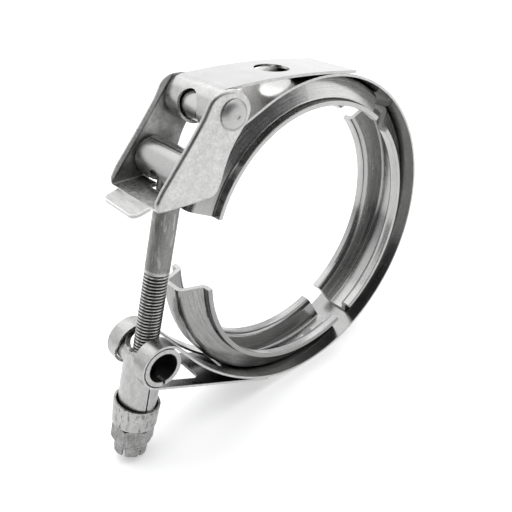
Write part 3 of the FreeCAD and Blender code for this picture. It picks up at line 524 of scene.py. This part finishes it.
def make_bolt():
    low, high = -36.2, BARREL_AT
    cols = 64
    step = PITCH / 10.0
    rows = [low + step * i for i in range(int((THREAD_FROM + 0.4 - low) / step) + 1)]
    rows += [THREAD_FROM + 0.8, 34.0, 40.0, 46.0, 52.0, high]
    verts, faces = [], []
    for s in rows:
        for c in range(cols):
            u = c / cols
            a = 2.0 * math.pi * u
            r = thread_radius(u, s, low) if s <= THREAD_FROM + 0.1 else BOLT_R
            verts.append(on_axis(r * math.cos(a), r * math.sin(a), s))
    n = len(rows)
    for i in range(n - 1):
        for c in range(cols):
            d = (c + 1) % cols
            faces.append((i * cols + c, i * cols + d, (i + 1) * cols + d, (i + 1) * cols + c))
    faces.append(tuple(reversed(range(cols))))
    faces.append(tuple(range((n - 1) * cols, n * cols)))
    # cross bar inside the barrel, with small chamfers
    base = len(verts)
    bar = [(-9.7, 4.3), (-9.3, 4.7), (9.3, 4.7), (9.7, 4.3)]
    for yy, r in bar:
        for c in range(cols):
            a = 2.0 * math.pi * c / cols
            verts.append(on_axis(r * math.sin(a), yy, BARREL_AT + r * math.cos(a)))
    for i in range(3):
        for c in range(cols):
            d = (c + 1) % cols
            k = base + i * cols
            faces.append((k + c, k + d, k + cols + d, k + cols + c))
    faces.append(tuple(base + c for c in reversed(range(cols))))
    faces.append(tuple(base + 3 * cols + c for c in range(cols)))
    me = bpy.data.meshes.new("t_bolt_threaded")
    me.from_pydata([tuple(v) for v in verts], [], faces)
    me.update()
    bm = bmesh.new()
    bm.from_mesh(me)
    bmesh.ops.recalc_face_normals(bm, faces=bm.faces)
    bm.to_mesh(me)
    bm.free()
    me.polygons.foreach_set("use_smooth", [True] * len(me.polygons))
    try:
        me.set_sharp_from_angle(angle=math.radians(32.0))
    except Exception:
        pass
    o = bpy.data.objects.new("t_bolt_threaded", me)
    scene.collection.objects.link(o)
    o.data.materials.append(MATS["t_bolt"])
    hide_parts("t_bolt")
    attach(o, "bolt")
    return o


make_bolt()

# -------------------------------------------------------------------- stage
bpy.ops.mesh.primitive_plane_add(size=6.0, location=(0, 0, FLOOR_Z))
floor = bpy.context.object
floor.name = "floor"
ft = Tree("floor_mat")
fs = ft.node("BsdfDiffuse")
ftc = ft.node("TexCoord")
fn = ft.noise(ftc.outputs["Object"], 3.0, 2.0)
fcol = ft.ramp(fn, [(0.0, 0.92), (1.0, 0.94)])
ft.link(fcol, fs.inputs["Color"])
# a lit table: the floor glows a little, so that shadows on it stay pale
fe = ft.node("Emission")
fe.inputs["Color"].default_value = (1.0, 1.0, 1.0, 1.0)
fe.inputs["Strength"].default_value = 0.42
fa = ft.node("AddShader")
ft.link(fs.outputs[0], fa.inputs[0])
ft.link(fe.outputs[0], fa.inputs[1])
ft.link(fa.outputs[0], ft.out.inputs[0])
floor.data.materials.append(ft.mat)

# ------------------------------------------------------------------- lights
WORLD = 0.75
world = bpy.data.worlds.new("studio")
scene.world = world
world.use_nodes = True
wt = world.node_tree
wt.nodes.clear()
w_out = wt.nodes.new("ShaderNodeOutputWorld")
w_bg = wt.nodes.new("ShaderNodeBackground")
w_tc = wt.nodes.new("ShaderNodeTexCoord")
view_h = turned((-c_back.x, -c_back.y, 0.0)).normalized()


def w_math(op, a, b=0.0):
    n = wt.nodes.new("ShaderNodeMath")
    n.operation = op
    for v, s in ((a, n.inputs[0]), (b, n.inputs[1])):
        if hasattr(v, "is_output"):
            wt.links.new(v, s)
        else:
            s.default_value = v
    return n.outputs[0]


def w_dot(v):
    n = wt.nodes.new("ShaderNodeVectorMath")
    n.operation = "DOT_PRODUCT"
    wt.links.new(w_tc.outputs["Generated"], n.inputs[0])
    n.inputs[1].default_value = v
    return n.outputs["Value"]


def w_smooth(v, a, b, c, d):
    n = wt.nodes.new("ShaderNodeMapRange")
    n.interpolation_type = "SMOOTHSTEP"
    wt.links.new(v, n.inputs[0])
    for s, x in zip(n.inputs[1:5], (a, b, c, d)):
        s.default_value = x
    return n.outputs[0]


# A bright room beyond the object, dim on the camera's side.
away = w_dot((view_h.x, view_h.y, 0.0))
level = w_smooth(away, -0.60, 0.50, 0.12, 1.0)
level = w_math("MULTIPLY", level, WORLD)
wt.links.new(level, w_bg.inputs["Strength"])
w_bg.inputs["Color"].default_value = (0.985, 0.99, 1.0, 1.0)
wt.links.new(w_bg.outputs[0], w_out.inputs[0])


def area(name, where, look, size, power, size_y=None):
    d = bpy.data.lights.new(name, "AREA")
    d.shape = "RECTANGLE"
    d.size = size
    d.size_y = size_y or size
    d.energy = power
    o = bpy.data.objects.new(name, d)
    scene.collection.objects.link(o)
    o.location = Vector(where)
    o.rotation_euler = (Vector(look) - Vector(where)).to_track_quat("-Z", "Y").to_euler()
    return o


def from_view(back, right, up):
    """A place given as metres beyond the object, to the right and up, as the camera sees it."""
    return (view_h.x * back + view_h.y * right, view_h.y * back - view_h.x * right, up)


area("panel_top", from_view(0.16, -0.04, 0.55), from_view(0.05, 0, 0), 0.90, 3.2)
area("panel_back", from_view(0.80, 0.0, 0.36), from_view(0, 0, 0.02), 1.5, 2.2, 0.8)
area("panel_left", from_view(0.10, -0.55, 0.22), from_view(0, 0, 0), 0.30, 0.42, 0.5)
area("panel_right", from_view(0.05, 0.55, 0.22), from_view(0, 0, 0), 0.26, 0.55, 0.5)

scene.view_settings.view_transform = "Standard"
scene.view_settings.look = "None"
